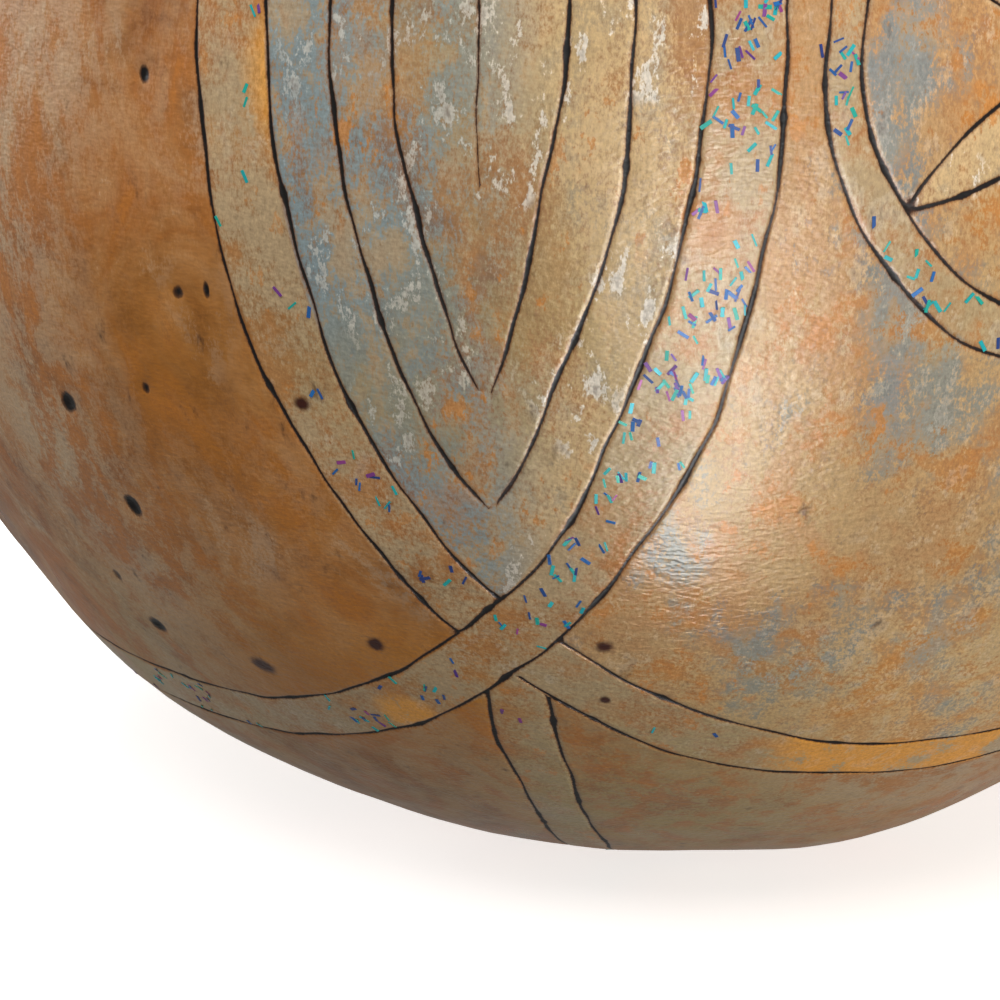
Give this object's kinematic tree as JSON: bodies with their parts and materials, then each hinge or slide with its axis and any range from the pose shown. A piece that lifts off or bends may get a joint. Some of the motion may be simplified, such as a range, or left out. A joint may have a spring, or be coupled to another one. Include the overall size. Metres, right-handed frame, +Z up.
{
  "type": "gourd vase",
  "caption": "Vase made of one dried round gourd, hollow, with a short flaring neck, a plain cut mouth and a flat spot to stand on.",
  "frame": {"origin": "middle of the flat spot that the gourd stands on", "axes": "+Z up through the mouth, -Y towards the side with the pictured view"},
  "size_m": [0.2371, 0.2374, 0.27],
  "materials": {
    "gourd_rind": "dried gourd rind, mottled orange brown and tan, with burned lines, pale blue grey washes and a satin varnish",
    "glitter_flake": "small shiny film flakes in turquoise, blue and violet, laid under the varnish"
  },
  "bodies": {
    "root": {"gourd_shell": "gourd_rind"}
  },
  "joints": []
}
